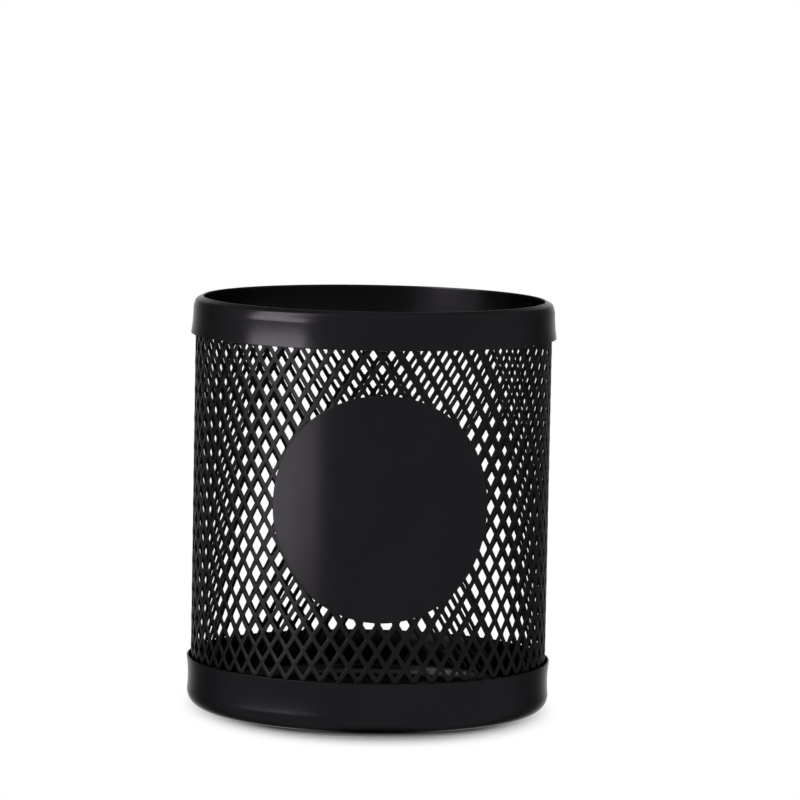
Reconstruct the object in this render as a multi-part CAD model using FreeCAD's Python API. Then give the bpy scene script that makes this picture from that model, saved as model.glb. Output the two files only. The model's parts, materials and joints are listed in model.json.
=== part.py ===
# Round mesh pencil cup: a sleeve of expanded steel, a folded rim, a drawn base pan and a bent badge plate.
# Millimetres, +Z up, front at -Y, origin on the ground under the middle of the cup.
import FreeCAD, Part
import math
import os
from FreeCAD import Vector

# Whole cup
cup_height = 102.0
sheet = 0.5                  # steel of the rim, the pan and the badge

# Mesh sleeve: two crossing layers of flat strands on a tube that is creased into flat panels
mesh_radius = 44.2           # outside, at the creases
diamond_width = 4.4          # pitch of the diamonds round the sleeve, rounded to whole panels
diamond_height = 7.22
columns_per_panel = 3        # diamond columns from one crease to the next
strand_width = 1.0
strand_thickness = 0.35
layer_gap = 0.04             # hairline between the crossing layers
bond_angle = -1.1            # one crossing of the strands, in degrees to the right of the front
bond_height = 4.56
margin_hide = 1.5            # unexpanded margin of the sheet, behind the edge of the rim or the pan
margin_cover = 0.03          # margin proud of the strands on each side

# Top rim, folded over the sleeve's upper edge
outer_leg = 9.1              # from the top of the bead to the lip
inner_leg = 7.8
rim_flare = 0.5              # lip proud of the leg
rim_flare_height = 2.6
rim_fit = 0.1                # clearance between the sleeve and each leg
rim_seat = 0.2               # clearance between the sleeve's edge and the fold
bead_flats = 4               # flats that round the bead from leg to leg

# Base pan, with its skirt outside the sleeve
pan_height = 12.4
pan_corner = 3.8             # outside radius of the lower corner
pan_flare = 0.4              # lip proud of the skirt
pan_flare_height = 2.2
pan_fit = 0.1                # clearance between the sleeve and the skirt
pan_seat = 0.1               # clearance between the sleeve's edge and the corner
corner_flats = 3             # flats that round the corner from the foot to the skirt
foot_width = 5.0             # flat ring that the cup stands on
floor_rise = 0.8             # floor above the foot

# Badge plate, a flat disc bent to the sleeve
badge_diameter = 55.0        # before bending
badge_rise = 1.95            # middle of the disc above the middle of the open mesh
badge_fit = 0.1              # clearance between the sleeve and the plate's back
badge_tolerance = 0.0005     # of the thickened plate

# Panels of the sleeve
panel_count = round(2 * math.pi * mesh_radius / (diamond_width * columns_per_panel))
panel_angle = 2 * math.pi / panel_count
panel_width = 2 * mesh_radius * math.sin(panel_angle / 2)
panel_rise = columns_per_panel * diamond_height
mesh_thickness = 2 * strand_thickness + layer_gap + 2 * margin_cover
mesh_inside = (mesh_radius - mesh_thickness) * math.cos(panel_angle / 2)

# Rim section
neck_radius = mesh_radius + rim_fit + sheet
channel_inside = mesh_inside - rim_fit
mouth_radius = channel_inside - sheet
bead_radius = (neck_radius - mouth_radius) / 2
bead_level = cup_height - bead_radius
lip_level = cup_height - outer_leg

# Pan section
skirt_radius = mesh_radius + pan_fit + sheet
corner_centre = skirt_radius - pan_corner

# Badge place, on the open mesh between the pan's lip and the rim's
badge_height = (pan_height + lip_level) / 2 + badge_rise

# Height of the sleeve: its lower edge stands on the pan's corner, its upper edge ends under the fold
mesh_low = pan_corner + pan_seat
mesh_top = bead_level - rim_seat
low_edge = pan_height - margin_hide
top_edge = cup_height - min(outer_leg, inner_leg) + margin_hide


def point(radius, z):
    return Vector(radius, 0, z)


def rounded(centre_radius, centre_level, radius, first_angle, last_angle, flats):
    # Points of a rounding, from angle to angle in degrees, with 0 outwards and 90 up
    points = []
    for number in range(flats + 1):
        angle = math.radians(first_angle + (last_angle - first_angle) * number / flats)
        points.append(point(centre_radius + radius * math.cos(angle), centre_level + radius * math.sin(angle)))
    return points


def revolved(outline):
    section = Part.Face(Part.makePolygon(outline + outline[:1]))
    return section.revolve(Vector(0, 0, 0), Vector(0, 0, 1), 360)


def top_rim():
    outside = neck_radius
    inside = neck_radius - sheet
    lip_start = lip_level + rim_flare_height
    legs = [
        point(outside, lip_start),
        point(outside + rim_flare, lip_level),
        point(inside + rim_flare, lip_level),
        point(inside, lip_start),
        point(inside, bead_level),
        point(channel_inside, bead_level),
        point(channel_inside, cup_height - inner_leg),
        point(mouth_radius, cup_height - inner_leg),
    ]
    bead = rounded(mouth_radius + bead_radius, bead_level, bead_radius, 180, 0, bead_flats)
    return revolved(legs + bead)


def base_pan():
    lip_start = pan_height - pan_flare_height
    step_foot = corner_centre - foot_width
    step_head = step_foot - floor_rise
    underside = [
        point(0, floor_rise),
        point(step_head, floor_rise),
        point(step_foot, 0),
    ]
    lip = [
        point(skirt_radius, lip_start),
        point(skirt_radius + pan_flare, pan_height),
        point(skirt_radius + pan_flare - sheet, pan_height),
        point(skirt_radius - sheet, lip_start),
    ]
    floor = [
        point(step_foot, sheet),
        point(step_head, floor_rise + sheet),
        point(0, floor_rise + sheet),
    ]
    outer_corner = rounded(corner_centre, pan_corner, pan_corner, -90, 0, corner_flats)
    inner_corner = rounded(corner_centre, pan_corner, pan_corner - sheet, 0, -90, corner_flats)
    return revolved(underside + outer_corner + lip + inner_corner + floor)


def crease(number, radius, z):
    angle = number * panel_angle - math.pi / 2
    return Vector(radius * math.cos(angle), radius * math.sin(angle), z)


def wall_points(places, radius):
    # A place is a turn and a level: turns count panels round from the front, and whole ones are creases
    points = []
    for turn, level in places:
        panel = math.floor(turn)
        start = crease(panel, radius, level)
        points.append(start + (crease(panel + 1, radius, level) - start) * (turn - panel))
    return points


def split_at_creases(start, end):
    # Places along a straight line on the wall, with one more at each crease that it crosses
    low, high = sorted((start[0], end[0]))
    slope = (end[1] - start[1]) / (end[0] - start[0])
    turns = sorted(range(math.floor(low) + 1, math.ceil(high)), reverse=start[0] > end[0])
    return [start] + [(turn, start[1] + slope * (turn - start[0])) for turn in turns] + [end]


def closed(points):
    return Part.makePolygon(points + points[:1])


def wall_between(outer, inner):
    # One face for each length of a polyline, from its outer to its inner points
    faces = []
    for number in range(len(outer) - 1):
        outer_edge = Part.makeLine(outer[number], outer[number + 1])
        inner_edge = Part.makeLine(inner[number], inner[number + 1])
        faces.append(Part.makeRuledSurface(outer_edge, inner_edge))
    return faces


def strand(first_turn, hand, outside):
    # A flat strip that climbs from panel to panel: its skin, and the outlines of its two ends
    inside = outside - strand_thickness
    half_run = strand_width * math.hypot(panel_width, panel_rise) / panel_rise / panel_width / 2
    climb = hand * (top_edge - low_edge) / panel_rise
    low_left = (first_turn - half_run, low_edge)
    low_right = (first_turn + half_run, low_edge)
    top_left = (first_turn + climb - half_run, top_edge)
    top_right = (first_turn + climb + half_run, top_edge)
    foot = split_at_creases(low_left, low_right)
    right = split_at_creases(low_right, top_right)
    head = split_at_creases(top_right, top_left)
    left = split_at_creases(top_left, low_left)
    faces = []
    for side in (right, left):
        faces += wall_between(wall_points(side, outside), wall_points(side, inside))
    loop = foot[:-1] + right[:-1] + head[:-1] + left[:-1]
    turns = [turn for turn, level in loop]
    for panel in range(math.floor(min(turns)), math.ceil(max(turns))):
        piece = [place for place in loop if panel <= place[0] <= panel + 1]
        if len(piece) > 2:
            faces.append(Part.Face(closed(wall_points(piece, outside))))
            faces.append(Part.Face(closed(wall_points(piece, inside))))
    ends = [closed(wall_points(end, outside) + wall_points(end, inside)[::-1]) for end in (foot, head)]
    return faces, ends


def margin(edge, end, strand_ends):
    # Plain band at one end of the sleeve, open where the strands grow out of its edge
    inside = mesh_radius - mesh_thickness
    turns = range(panel_count + 1)
    rings = {}
    for radius in (mesh_radius, inside):
        for level in (edge, end):
            rings[radius, level] = [crease(turn, radius, level) for turn in turns]
    faces = wall_between(rings[mesh_radius, edge], rings[mesh_radius, end])
    faces += wall_between(rings[inside, edge], rings[inside, end])
    for level, holes in ((edge, strand_ends), (end, [])):
        outlines = [closed(rings[radius, level][:-1]) for radius in (mesh_radius, inside)]
        faces.append(Part.makeFace(outlines + holes, "Part::FaceMakerBullseye"))
    return faces


def mesh_sleeve():
    bond_turn = math.radians(bond_angle) / panel_angle
    outer_layer = mesh_radius - margin_cover
    inner_layer = outer_layer - strand_thickness - layer_gap
    faces = []
    low_ends = []
    top_ends = []
    for hand, outside in ((1, outer_layer), (-1, inner_layer)):
        for column in range(columns_per_panel):
            start = bond_turn + hand * (low_edge - bond_height) / panel_rise + column / columns_per_panel
            skin, ends = strand(start, hand, outside)
            for panel in range(panel_count):
                for shapes, copies in ((skin, faces), (ends[:1], low_ends), (ends[1:], top_ends)):
                    turned = [shape.copy() for shape in shapes]
                    for shape in turned:
                        shape.rotate(Vector(0, 0, 0), Vector(0, 0, 1), math.degrees(panel * panel_angle))
                    copies += turned
    faces += margin(low_edge, mesh_low, low_ends)
    faces += margin(top_edge, mesh_top, top_ends)
    skin = Part.makeCompound(faces)
    skin.sewShape()
    sleeve = Part.makeSolid(skin.Shells[0])
    if sleeve.Volume < 0:
        sleeve.reverse()
    return sleeve


def badge_plate():
    # A circle drawn on the flat plate is an ellipse in the angle and height of the bent one
    inside = mesh_radius + badge_fit
    radius = badge_diameter / 2
    front = 3 * math.pi / 2
    bend = Part.Cylinder()
    bend.Radius = inside
    centre = FreeCAD.Base.Vector2d(front, badge_height)
    top = FreeCAD.Base.Vector2d(front, badge_height + radius)
    side = FreeCAD.Base.Vector2d(front + radius / inside, badge_height)
    outline = Part.Geom2d.Ellipse2d(top, side, centre).toShape(bend)
    back = Part.Face(bend, Part.Wire(outline))
    return back.makeOffsetShape(sheet, badge_tolerance, fill=True)


os.makedirs("parts", exist_ok=True)
pieces = {
    "mesh_sleeve": mesh_sleeve(),
    "top_rim": top_rim(),
    "base_pan": base_pan(),
    "badge_plate": badge_plate(),
}
for name, shape in pieces.items():
    shape.exportStep("parts/" + name + ".step")
    print(name, shape.ShapeType, "solids", len(shape.Solids), "valid", shape.isValid(), "volume", round(shape.Volume, 1))
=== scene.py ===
import json
import math
import bmesh
import bpy
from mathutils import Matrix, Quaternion, Vector


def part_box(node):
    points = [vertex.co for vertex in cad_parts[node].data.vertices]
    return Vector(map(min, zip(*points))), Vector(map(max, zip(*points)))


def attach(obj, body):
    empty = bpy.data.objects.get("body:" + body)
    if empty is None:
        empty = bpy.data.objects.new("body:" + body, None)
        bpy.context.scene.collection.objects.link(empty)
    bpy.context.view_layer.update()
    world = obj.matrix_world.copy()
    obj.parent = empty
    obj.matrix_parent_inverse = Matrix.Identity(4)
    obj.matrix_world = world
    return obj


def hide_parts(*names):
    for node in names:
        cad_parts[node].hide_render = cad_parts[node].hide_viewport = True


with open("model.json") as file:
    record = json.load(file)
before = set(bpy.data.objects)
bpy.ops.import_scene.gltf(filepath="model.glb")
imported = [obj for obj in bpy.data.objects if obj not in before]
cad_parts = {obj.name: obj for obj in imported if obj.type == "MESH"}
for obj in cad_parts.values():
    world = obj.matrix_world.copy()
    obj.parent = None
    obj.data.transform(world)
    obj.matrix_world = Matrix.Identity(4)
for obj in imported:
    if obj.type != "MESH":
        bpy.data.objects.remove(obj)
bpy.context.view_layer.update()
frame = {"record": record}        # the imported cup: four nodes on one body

mm = 0.001
cupBody = "root"
rimLow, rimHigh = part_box("top_rim")
panLow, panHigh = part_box("base_pan")
meshLow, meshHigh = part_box("mesh_sleeve")
badgeLow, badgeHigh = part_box("badge_plate")
mounts = {mount["name"]: mount for mount in frame["record"]["mounts"]}
mouthRadius = mounts["mouth"]["dims"]["r_mm"] * mm
sheet = 0.4 * mm                  # bare edge of the rim, the pan and the badge
smoothAngle = math.radians(40)    # flatter edges are shaded smooth
sharpAngle = math.radians(50)     # sharper edges of a sheet are rounded
pointReach = 0.001 * mm           # a point is at its corner
weldReach = 0.002 * mm            # points nearer than this become one
leastSteps = 2                    # in a rounding
print("frame loaded: cup", round(rimHigh.z / mm, 1), "mm high")


def newPiece(name):
    piece = bpy.context.object
    piece.name = name
    piece.data.name = name
    return piece


def pick(piece, wanted):
    # select the points that pass the test
    bpy.ops.mesh.select_mode(type="VERT")
    bpy.ops.mesh.select_all(action="DESELECT")
    cage = bmesh.from_edit_mesh(piece.data)
    for point in cage.verts:
        point.select_set(wanted(point.co))
    cage.select_flush_mode()
    bmesh.update_edit_mesh(piece.data)


def applyModifier(piece, kind, **settings):
    modifier = piece.modifiers.new(kind.lower(), kind)
    for setting, value in settings.items():
        setattr(modifier, setting, value)
    bpy.ops.object.modifier_apply(modifier=modifier.name)


def closeUp(reach):
    # weld the seam and turn all faces outwards
    bpy.ops.mesh.select_all(action="SELECT")
    bpy.ops.mesh.remove_doubles(threshold=reach)
    bpy.ops.mesh.normals_make_consistent(inside=False)


def rollUp(piece, radius):
    # bend a flat sheet about the cup's axis, with its middle at the front
    angle = piece.dimensions.x / radius
    applyModifier(piece, "SIMPLE_DEFORM", deform_method="BEND", deform_axis="Z", angle=angle)
    bpy.ops.object.mode_set(mode="EDIT")
    bpy.ops.mesh.select_all(action="SELECT")
    bpy.ops.transform.translate(value=(0, -radius, 0))
    bpy.ops.object.mode_set(mode="OBJECT")


def roundEdges(piece, form, angle):
    applyModifier(
        piece, "BEVEL", width=form["edgeRound"], segments=form["edgeSteps"],
        limit_method="ANGLE", angle_limit=angle,
    )


def finishPiece(piece, node, material):
    piece.data.materials.clear()
    piece.data.materials.append(material)
    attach(piece, cupBody)
    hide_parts(node)
    print(piece.name, "made:", len(piece.data.polygons), "faces")


# Spun sheet pieces: a section drawn point to point, rounded at its corners and spun about the axis

def drawSection(name, corners):
    # each corner is (radius, level, rounding)
    places = [Vector((radius, 0, level)) for radius, level, rounding in corners]
    bpy.ops.object.select_all(action="DESELECT")
    bpy.ops.mesh.primitive_plane_add(size=sheet, location=(0, 0, 0))
    piece = newPiece(name)
    bpy.ops.object.mode_set(mode="EDIT")
    bpy.ops.mesh.select_mode(type="VERT")
    bpy.ops.mesh.select_all(action="SELECT")
    bpy.ops.mesh.merge(type="CENTER")
    bpy.ops.transform.translate(value=places[0])
    for start, end in zip(places, places[1:]):
        bpy.ops.mesh.extrude_vertices_move(TRANSFORM_OT_translate={"value": end - start})
    return piece, places


def roundSection(piece, places, corners, roundSteps):
    for number in range(1, len(places) - 1):
        before, corner, after = places[number - 1:number + 2]
        rounding = corners[number][2]
        if not rounding:
            continue
        turn = (corner - before).angle(after - corner)
        pick(piece, lambda place: (place - corner).length < pointReach)
        bpy.ops.mesh.bevel(
            affect="VERTICES",
            offset_type="OFFSET",
            offset=rounding * math.tan(turn / 2),
            segments=max(leastSteps, round(roundSteps * turn / math.pi / 2)),
            profile=0.5,         # a true arc
        )


def spinSheet(name, corners, form):
    piece, places = drawSection(name, corners)
    roundSection(piece, places, corners, form["roundSteps"])
    bpy.ops.mesh.select_all(action="SELECT")
    bpy.ops.mesh.spin(steps=form["steps"], angle=2 * math.pi, center=(0, 0, 0), axis=(0, 0, 1))
    closeUp(weldReach)
    bpy.ops.object.mode_set(mode="OBJECT")
    applyModifier(piece, "SOLIDIFY", thickness=sheet, offset=-1, use_even_offset=True)
    roundEdges(piece, form, sharpAngle)
    bpy.ops.object.shade_smooth_by_angle(angle=smoothAngle)
    applyModifier(piece, "WEIGHTED_NORMAL", keep_sharp=True)
    return piece


# Powder coat

def coatMaterial(name, coat):
    material = bpy.data.materials.new(name)
    material.use_nodes = True
    nodes = material.node_tree.nodes
    links = material.node_tree.links
    shader = nodes["Principled BSDF"]
    shader.inputs["Metallic"].default_value = coat["metal"]
    edge = coat["edgeShine"]
    shader.inputs["Specular Tint"].default_value = (edge, edge, edge, 1)
    shader.inputs["Specular IOR Level"].default_value = coat["gloss"]
    place = nodes.new("ShaderNodeTexCoord")

    def noise(size, detail):
        texture = nodes.new("ShaderNodeTexNoise")
        texture.inputs["Scale"].default_value = 1 / size
        texture.inputs["Detail"].default_value = detail
        links.new(place.outputs["Object"], texture.inputs["Vector"])
        return texture

    def between(texture, low, high):
        limits = nodes.new("ShaderNodeMapRange")
        limits.inputs["From Min"].default_value = coat["noiseLow"]
        limits.inputs["From Max"].default_value = coat["noiseHigh"]
        limits.inputs["To Min"].default_value = low
        limits.inputs["To Max"].default_value = high
        links.new(texture.outputs["Fac"], limits.inputs["Value"])
        return limits.outputs["Result"]

    def bump(texture, depth):
        relief = nodes.new("ShaderNodeBump")
        relief.inputs["Distance"].default_value = depth
        links.new(texture.outputs["Fac"], relief.inputs["Height"])
        return relief

    # colour drifts a little between the bare black and a greyer one
    drift = noise(coat["cloudSize"], coat["cloudDetail"])
    tint = nodes.new("ShaderNodeMix")
    tint.data_type = "RGBA"
    tint.inputs["A"].default_value = (*coat["black"], 1)
    tint.inputs["B"].default_value = (*coat["grey"], 1)
    links.new(between(drift, 0, 1), tint.inputs["Factor"])
    links.new(tint.outputs["Result"], shader.inputs["Base Color"])

    # sheen breaks up in patches
    patches = noise(coat["patchSize"], coat["patchDetail"])
    links.new(between(patches, *coat["roughness"]), shader.inputs["Roughness"])

    # orange peel of the coat, with the powder's own grain on it
    peel = bump(noise(coat["peelSize"], coat["peelDetail"]), coat["peelDepth"])
    grain = bump(noise(coat["grainSize"], coat["grainDetail"]), coat["grainDepth"])
    links.new(peel.outputs["Normal"], grain.inputs["Normal"])
    links.new(grain.outputs["Normal"], shader.inputs["Normal"])
    return material


sheetCoat = {
    "black": (0.0122, 0.0111, 0.0126),
    "grey": (0.0143, 0.0132, 0.0148),
    "metal": 0.85,
    "gloss": 0.1,
    "edgeShine": 0.4,            # reflection at a glancing angle
    "roughness": (0.19, 0.23),
    "noiseLow": 0.3,             # most of a noise lies between these
    "noiseHigh": 0.7,
    "cloudSize": 14 * mm,
    "cloudDetail": 3,
    "patchSize": 3 * mm,
    "patchDetail": 4,
    "peelSize": 0.9 * mm,
    "peelDetail": 1,
    "peelDepth": 0.006 * mm,
    "grainSize": 0.22 * mm,
    "grainDetail": 2,
    "grainDepth": 0.002 * mm,
}
meshCoat = dict(
    sheetCoat, black=(0.0106, 0.0097, 0.0110), grey=(0.0124, 0.0114, 0.0128),
    roughness=(0.32, 0.4), peelSize=0.6 * mm,
)
badgeCoat = dict(sheetCoat, roughness=(0.24, 0.27), peelDepth=0.003 * mm, grainDepth=0.0015 * mm)

sheetBlack = coatMaterial("sheetCoat", sheetCoat)
meshBlack = coatMaterial("meshCoat", meshCoat)
badgeBlack = coatMaterial("badgeCoat", badgeCoat)
print("coats mixed")


# Expanded mesh: one diamond, tilted as the press leaves it, arrayed and rolled to a tube

mesh = {
    "columns": 61,
    "rowPitch": 7.08 * mm,
    "spareRows": 2,            # trimmed off later
    "strandWidth": 1.05 * mm,
    "sheet": 0.34 * mm,
    "tilt": 0.06 * mm,         # one side of each opening pressed out, the other in
    "cornerCut": 0.3 * mm,     # blunted corners of an opening
    "openingShare": 0.49,      # its corners lie inside the diamond, which ends at a half
    "sideFrom": 0.5 * mm,      # its side corners lie this far from its middle
    "sideGap": 0.1 * mm,       # and from the corner of the diamond
    "edgeRound": 0.1 * mm,
    "edgeSteps": 1,
    "edgeAngle": math.radians(70),
    "latticeReach": 0.01 * mm,  # diamonds weld to their neighbours
    "seamReach": 0.02 * mm,    # and the rolled sheet to its other end
    "openingAngle": -0.76,     # one column of openings, in degrees to the right of the front
    "openingLevel": -0.3 * mm,
    "rowRise": 2.3 * mm,       # rows stand higher at the front than at the weld
}


def makeMesh():
    outside = -meshLow.y                                 # a crease of the sleeve lies at the front
    midRadius = outside - mesh["sheet"] / 2 - mesh["tilt"]
    pitch = 2 * math.pi * midRadius / mesh["columns"]
    rowPitch = mesh["rowPitch"]
    bpy.ops.object.select_all(action="DESELECT")

    # a square on its corner, two wide, becomes the strands round one opening
    bpy.ops.mesh.primitive_plane_add(size=math.sqrt(2), rotation=(math.pi / 2, math.pi / 4, 0))
    piece = newPiece("expandedMesh")
    bpy.ops.object.transform_apply(rotation=True)
    bpy.ops.object.mode_set(mode="EDIT")
    bpy.ops.mesh.select_all(action="SELECT")
    bpy.ops.transform.resize(value=(pitch / 2, 1, rowPitch / 2), center_override=(0, 0, 0))
    bpy.ops.mesh.inset(thickness=mesh["strandWidth"] / 2, use_even_offset=True)
    bpy.ops.mesh.delete(type="FACE")
    inside = mesh["openingShare"]
    pick(piece, lambda place: abs(place.x) / pitch + abs(place.z) / rowPitch < inside)
    bpy.ops.mesh.bevel(
        affect="VERTICES", offset_type="OFFSET", offset=mesh["cornerCut"], segments=1,
    )

    # the opening's left corner comes out and its right corner goes in
    sideTo = pitch / 2 - mesh["sideGap"]
    for side in (-1, 1):
        pick(piece, lambda place: mesh["sideFrom"] < side * place.x < sideTo)
        bpy.ops.transform.translate(value=(0, side * mesh["tilt"], 0))

    # the column beside it stands half a row higher
    bpy.ops.mesh.select_all(action="SELECT")
    bpy.ops.mesh.duplicate_move(TRANSFORM_OT_translate={"value": (pitch / 2, 0, rowPitch / 2)})
    bpy.ops.object.mode_set(mode="OBJECT")
    rows = math.ceil((meshHigh.z - meshLow.z) / rowPitch) + mesh["spareRows"]
    for count, offset in ((mesh["columns"], (pitch, 0, 0)), (rows, (0, 0, rowPitch))):
        applyModifier(
            piece, "ARRAY", count=count, use_relative_offset=False, use_constant_offset=True,
            constant_offset_displace=offset,
        )

    # the middle column stands at the front, and the rows rise towards it
    firstColumn = -(mesh["columns"] - 1) / 2 * pitch
    middle = pitch / 8                                   # no other column comes this near
    bpy.ops.object.mode_set(mode="EDIT")
    bpy.ops.mesh.select_all(action="SELECT")
    bpy.ops.transform.translate(value=(firstColumn, 0, mesh["openingLevel"] - rowPitch))
    bpy.ops.mesh.remove_doubles(threshold=mesh["latticeReach"])
    pick(piece, lambda place: abs(place.x) < middle)
    bpy.ops.transform.translate(
        value=(0, 0, mesh["rowRise"]), use_proportional_edit=True,
        proportional_edit_falloff="SMOOTH", proportional_size=math.pi * midRadius,
    )

    # trim both ends, inside the pan and the rim
    for level, keepAbove in ((meshLow.z, True), (meshHigh.z, False)):
        bpy.ops.mesh.select_all(action="SELECT")
        bpy.ops.mesh.bisect(
            plane_co=(0, 0, level), plane_no=(0, 0, 1),
            clear_inner=keepAbove, clear_outer=not keepAbove,
        )
    bpy.ops.object.mode_set(mode="OBJECT")

    # roll it up with the weld at the back
    rollUp(piece, midRadius)
    bpy.ops.object.mode_set(mode="EDIT")
    bpy.ops.mesh.select_all(action="SELECT")
    bpy.ops.transform.rotate(
        value=-math.radians(mesh["openingAngle"]), orient_axis="Z", center_override=(0, 0, 0),
    )
    closeUp(mesh["seamReach"])
    bpy.ops.object.mode_set(mode="OBJECT")

    # sheet thickness, then the rounded strands of a coated mesh
    applyModifier(piece, "SOLIDIFY", thickness=mesh["sheet"], offset=0, use_even_offset=True)
    roundEdges(piece, mesh, mesh["edgeAngle"])
    bpy.ops.object.shade_smooth()
    finishPiece(piece, "mesh_sleeve", meshBlack)


makeMesh()


# Folded rim: lip, flare, bead and inner leg

rim = {
    "steps": 192,
    "innerLeg": 7.8 * mm,
    "topGap": 0.02 * mm,       # under the top of the solid rim
    "shoulderDrop": 2.0 * mm,  # from the top to where the bead turns in
    "shoulderIn": 0.65 * mm,
    "shoulderRound": 5 * mm,
    "crownSlope": 0.5,         # the top rises to the mouth
    "crownRound": 1.2 * mm,
    "mouthRound": 0.36 * mm,
    "flare": 0.5 * mm,
    "flareHeight": 2.7 * mm,
    "flareRound": 28 * mm,
    "roundSteps": 48,          # in a full turn of a rounding
    "edgeRound": 0.12 * mm,
    "edgeSteps": 2,
}


def makeRim():
    lip = rimHigh.x
    side = lip - rim["flare"]
    top = rimHigh.z - rim["topGap"]
    slope = rim["crownSlope"]
    overTop = slope + math.hypot(slope, 1) - 1           # so that the rounded peak ends at the top
    peak = top + rim["mouthRound"] * overTop
    crownWidth = side - rim["shoulderIn"] - mouthRadius
    corners = [
        (lip, rimLow.z, 0),
        (side, rimLow.z + rim["flareHeight"], rim["flareRound"]),
        (side, top - rim["shoulderDrop"], rim["shoulderRound"]),
        (side - rim["shoulderIn"], peak - slope * crownWidth, rim["crownRound"]),
        (mouthRadius, peak, rim["mouthRound"]),
        (mouthRadius, top - rim["innerLeg"], 0),
    ]
    piece = spinSheet("foldedRim", corners, rim)
    finishPiece(piece, "top_rim", sheetBlack)


makeRim()


# Drawn pan: floor, step, foot, round corner, skirt and flared lip

pan = {
    "steps": 192,
    "floorRise": 0.8 * mm,
    "footInside": 36 * mm,
    "stepRound": 1 * mm,
    "corner": 3.8 * mm,
    "bulge": 0.21 * mm,        # skirt swells a little above the corner
    "bulgeHeight": 4.05 * mm,
    "bulgeRound": 6 * mm,
    "waist": 0.12 * mm,        # and draws in under the lip
    "waistHeight": 7.8 * mm,
    "waistRound": 24 * mm,
    "flare": 0.4 * mm,
    "roundSteps": 40,
    "edgeRound": 0.12 * mm,
    "edgeSteps": 2,
}


def makePan():
    lip = panHigh.x
    skirt = lip - pan["flare"]
    corners = [
        (0, pan["floorRise"], 0),
        (pan["footInside"] - pan["floorRise"], pan["floorRise"], pan["stepRound"]),
        (pan["footInside"], panLow.z, pan["stepRound"]),
        (skirt + pan["bulge"], panLow.z, pan["corner"]),
        (skirt + pan["bulge"], pan["bulgeHeight"], pan["bulgeRound"]),
        (skirt - pan["waist"], pan["waistHeight"], pan["waistRound"]),
        (lip, panHigh.z, 0),
    ]
    piece = spinSheet("drawnPan", corners, pan)
    finishPiece(piece, "base_pan", sheetBlack)


makePan()


# Badge plate: a flat blank, bent to the sleeve

badge = {
    "points": 128,
    "edgeRound": 0.16 * mm,
    "edgeSteps": 3,
}


def makeBadge():
    radius = (badgeHigh.z - badgeLow.z) / 2
    bendRadius = -badgeLow.y - sheet
    bpy.ops.object.select_all(action="DESELECT")
    bpy.ops.mesh.primitive_circle_add(
        vertices=badge["points"], radius=radius,
        rotation=(math.pi / 2, math.pi / badge["points"], 0),
    )
    piece = newPiece("badgePlate")
    bpy.ops.object.transform_apply(rotation=True)
    bpy.ops.object.mode_set(mode="EDIT")
    bpy.ops.mesh.select_all(action="SELECT")
    bpy.ops.mesh.fill_grid(span=badge["points"] // 4, offset=0)
    bpy.ops.mesh.select_all(action="SELECT")
    bpy.ops.transform.translate(value=(0, 0, (badgeHigh.z + badgeLow.z) / 2))
    bpy.ops.object.mode_set(mode="OBJECT")
    rollUp(piece, bendRadius)
    applyModifier(piece, "SOLIDIFY", thickness=sheet, offset=1)
    roundEdges(piece, badge, sharpAngle)
    bpy.ops.object.shade_smooth_by_angle(angle=smoothAngle)
    finishPiece(piece, "badge_plate", badgeBlack)


makeBadge()


# Floor, light and camera

studio = {
    "floorSize": 6.0,
    "floorWhite": (0.92, 0.92, 0.92),
    "floorRoughness": 0.9,
    "floorGloss": 0.0,
    "shadeFrom": 0.048,          # metres from the axis where lit paper turns to plain white
    "shadeTo": 0.07,
    "shadeSides": 1.45,          # and sooner at the cup's sides
    "mirrorFrom": 0.042,         # the same in the coat's reflections
    "mirrorTo": 0.047,
    "roomLight": 0.2,            # the backdrop's strength as a light
    "viewTurn": -3.6,            # the camera stands a little to the left of the badge
}


def joined(nodes, links, operation, first, second):
    joint = nodes.new("ShaderNodeMath")
    joint.operation = operation
    links.new(first, joint.inputs[0])
    links.new(second, joint.inputs[1])
    return joint.outputs["Value"]


def seenRays(nodes, links, straight=None, mirrored=None):
    # 1, or the share that is given, for what the camera sees straight, mirrored or through glass
    rays = nodes.new("ShaderNodeLightPath")
    shares = {"Is Camera Ray": straight, "Is Glossy Ray": mirrored, "Is Transmission Ray": straight}
    seen = None
    for ray, share in shares.items():
        level = rays.outputs[ray]
        if share:
            level = joined(nodes, links, "MULTIPLY", level, share)
        seen = joined(nodes, links, "MAXIMUM", seen, level) if seen else level
    return seen


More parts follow.
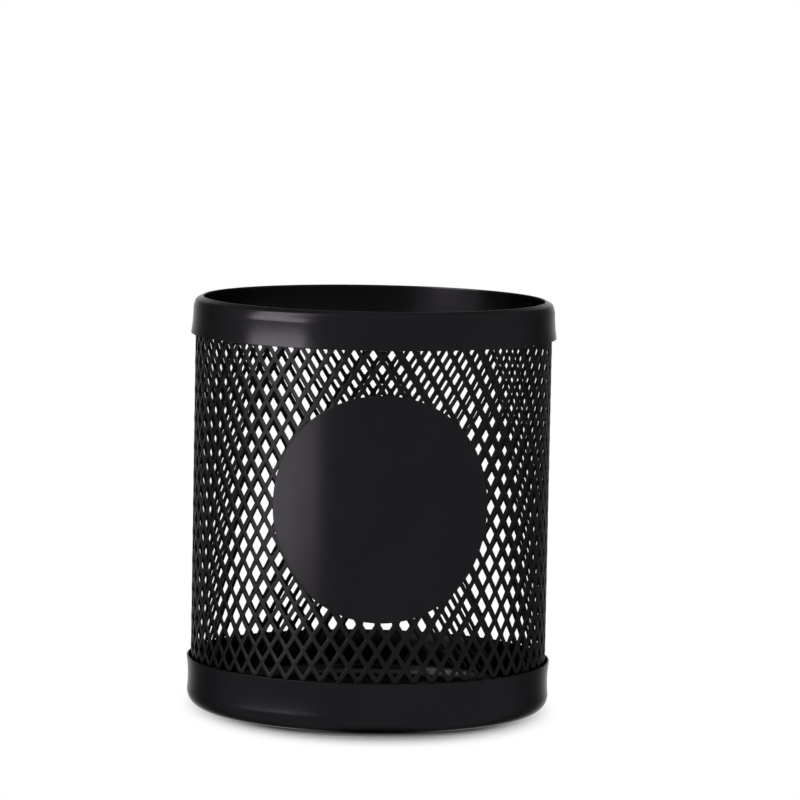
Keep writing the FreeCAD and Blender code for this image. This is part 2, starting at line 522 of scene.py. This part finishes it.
def makeFloor():
    bpy.ops.object.select_all(action="DESELECT")
    bpy.ops.mesh.primitive_plane_add(size=studio["floorSize"])
    floor = newPiece("floor")
    material = bpy.data.materials.new("floorPaper")
    material.use_nodes = True
    nodes = material.node_tree.nodes
    links = material.node_tree.links
    shader = nodes["Principled BSDF"]
    shader.inputs["Base Color"].default_value = (*studio["floorWhite"], 1)
    shader.inputs["Roughness"].default_value = studio["floorRoughness"]
    shader.inputs["Specular IOR Level"].default_value = studio["floorGloss"]
    place = nodes.new("ShaderNodeTexCoord")
    stretch = nodes.new("ShaderNodeVectorMath")
    stretch.operation = "MULTIPLY"
    stretch.inputs[1].default_value = (studio["shadeSides"], 1, 1)
    links.new(place.outputs["Object"], stretch.inputs[0])
    reach = nodes.new("ShaderNodeVectorMath")
    reach.operation = "LENGTH"
    links.new(stretch.outputs["Vector"], reach.inputs[0])

    def fade(start, end):
        limits = nodes.new("ShaderNodeMapRange")
        limits.interpolation_type = "SMOOTHSTEP"
        limits.inputs["From Min"].default_value = start
        limits.inputs["From Max"].default_value = end
        links.new(reach.outputs["Value"], limits.inputs["Value"])
        return limits.outputs["Result"]

    straight = fade(studio["shadeFrom"], studio["shadeTo"])
    mirrored = fade(studio["mirrorFrom"], studio["mirrorTo"])
    white = nodes.new("ShaderNodeEmission")
    blend = nodes.new("ShaderNodeMixShader")
    links.new(seenRays(nodes, links, straight, mirrored), blend.inputs["Fac"])
    links.new(shader.outputs["BSDF"], blend.inputs[1])
    links.new(white.outputs["Emission"], blend.inputs[2])
    links.new(blend.outputs["Shader"], nodes["Material Output"].inputs["Surface"])
    floor.data.materials.append(material)


makeFloor()


def makeWorld():
    world = bpy.data.worlds.new("studio")
    bpy.context.scene.world = world
    world.use_nodes = True
    nodes = world.node_tree.nodes
    links = world.node_tree.links
    backdrop = nodes["Background"]
    backdrop.inputs["Color"].default_value = (1, 1, 1, 1)
    strength = nodes.new("ShaderNodeMapRange")
    strength.inputs["To Min"].default_value = studio["roomLight"]
    strength.inputs["To Max"].default_value = 1.0
    links.new(seenRays(nodes, links), strength.inputs["Value"])
    links.new(strength.outputs["Result"], backdrop.inputs["Strength"])


makeWorld()

lamps = {
    # name: turn from the camera, distance, mid height, width, height, watts, mirrored in the coat
    "lowBox": (-62, 0.27, 0.032, 0.176, 0.06, 0.195, True),
    "lowFade": (-37.5, 0.27, 0.036, 0.062, 0.052, 0.05, True),
    "midBox": (-60, 0.32, 0.153, 0.22, 0.086, 0.77, True),
    "highBox": (-65.5, 0.32, 0.416, 0.154, 0.44, 2.24, True),
    "highFade": (-46.5, 0.32, 0.416, 0.062, 0.44, 0.43, True),
    "overhead": (180, 0.03, 0.8, 0.15, 0.15, 6.2, False),
}


def makeLamps():
    for name, (turn, distance, level, width, height, watts, mirrored) in lamps.items():
        angle = math.radians(studio["viewTurn"] + turn)
        lamp = bpy.data.lights.new(name, "AREA")
        lamp.shape = "RECTANGLE"
        lamp.size = width
        lamp.size_y = height
        lamp.energy = watts
        holder = bpy.data.objects.new(name, lamp)
        holder.location = (distance * math.sin(angle), -distance * math.cos(angle), level)
        aim = Vector((0, 0, level if mirrored else 0)) - holder.location    # boxes stand upright
        holder.rotation_euler = aim.to_track_quat("-Z", "Y").to_euler()
        holder.visible_camera = False
        holder.visible_glossy = mirrored
        holder.visible_diffuse = not mirrored
        bpy.context.scene.collection.objects.link(holder)


makeLamps()

camera = {
    "sensor": 36.0,
    "lens": 218.59,
    "distance": 1200 * mm,
    "height": 196.9 * mm,
    "aimSide": 6.78 * mm,        # to the right of the cup's axis
    "aimHeight": 76.7 * mm,
    "roll": 0.0194,              # radians
}


def makeCamera():
    turn = math.radians(studio["viewTurn"])
    right = Vector((math.cos(turn), math.sin(turn), 0))
    eye = Vector((math.sin(turn), -math.cos(turn), 0)) * camera["distance"]
    eye.z = camera["height"]
    aim = right * camera["aimSide"]
    aim.z = camera["aimHeight"]
    data = bpy.data.cameras.new("photoCamera")
    data.sensor_width = camera["sensor"]
    data.lens = camera["lens"]
    holder = bpy.data.objects.new("photoCamera", data)
    holder.location = eye
    roll = Quaternion((0, 0, 1), camera["roll"])
    holder.rotation_euler = ((aim - eye).to_track_quat("-Z", "Y") @ roll).to_euler()
    bpy.context.scene.collection.objects.link(holder)
    bpy.context.scene.camera = holder


makeCamera()
bpy.context.scene.view_settings.view_transform = "Standard"
print("studio ready")
